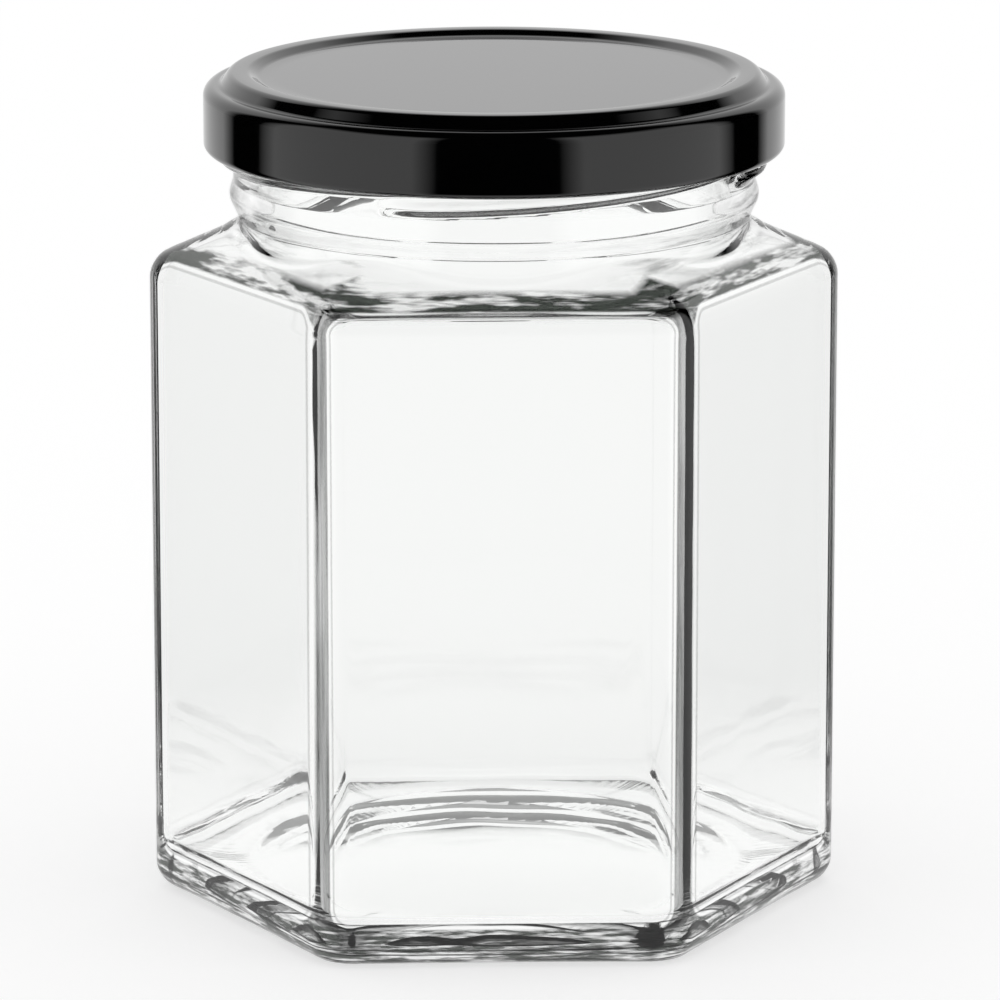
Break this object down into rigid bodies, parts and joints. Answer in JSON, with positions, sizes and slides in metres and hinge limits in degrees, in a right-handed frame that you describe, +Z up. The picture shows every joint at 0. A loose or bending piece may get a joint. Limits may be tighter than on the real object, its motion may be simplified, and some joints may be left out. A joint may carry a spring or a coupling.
{
  "type": "hexagonal glass jar with lid",
  "caption": "Empty clear glass jar with a hexagonal body, a short round threaded neck and a shut black twist-off metal lid with a raised ring.",
  "frame": {"origin": "middle of the jar's base, in the plane it stands on", "axes": "+Z up along the neck's axis; two flats face +Y and -Y, two upright corners point along +X and -X"},
  "size_m": [0.0792, 0.0698, 0.0966],
  "materials": {
    "glass": "clear, fire-polished, with soft ripples",
    "lid": "glossy black lacquer on tinplate"
  },
  "bodies": {
    "root": {"jar": "glass", "lid": "lid"}
  },
  "joints": []
}
